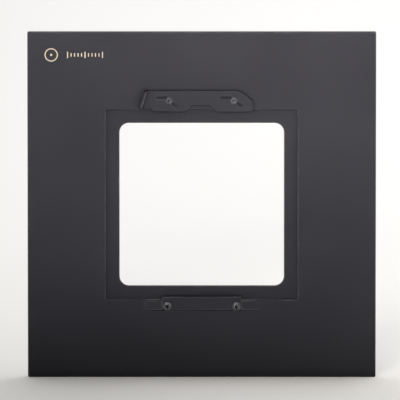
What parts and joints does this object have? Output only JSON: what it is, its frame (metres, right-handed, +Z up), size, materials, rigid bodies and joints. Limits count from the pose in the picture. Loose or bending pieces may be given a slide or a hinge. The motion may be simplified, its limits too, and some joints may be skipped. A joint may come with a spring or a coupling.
{
  "type": "lens board adapter plate",
  "caption": "Square black plate with a sunk square seat for a smaller lens board, a fixed lower retaining bar and a sliding dog-leg latch above.",
  "frame": {"origin": "middle of the plate's bottom edge, in the plane of its front face", "axes": "+X to the right seen from the front, +Z up, the front faces -Y; the light axis runs along Y at half the plate's height"},
  "size_m": [0.2, 0.01, 0.2],
  "materials": {
    "anodised_plate": "fine bead-blasted, black anodised, satin",
    "anodised_fittings": "milled, black anodised, satin",
    "screw_steel": "blackened, worn bright on the edges",
    "washer_steel": "blackened"
  },
  "bodies": {
    "adapter_body": {"adapter_plate": "anodised_plate", "retaining_bar": "anodised_fittings", "bar_screw_left": "screw_steel", "bar_screw_right": "screw_steel", "latch_screw_left": "screw_steel", "latch_screw_right": "screw_steel", "latch_flat_washer_left": "washer_steel", "latch_flat_washer_right": "washer_steel", "latch_wave_washer_left": "washer_steel", "latch_wave_washer_right": "washer_steel"},
    "latch": {"latch_slider": "anodised_fittings"}
  },
  "joints": [
    {"name": "latch_slide", "type": "slide", "parent": "adapter_body", "child": "latch", "axis": [-0.8089, 0, 0.5879], "range_m": [-0.0028, 0.0047]}
  ]
}
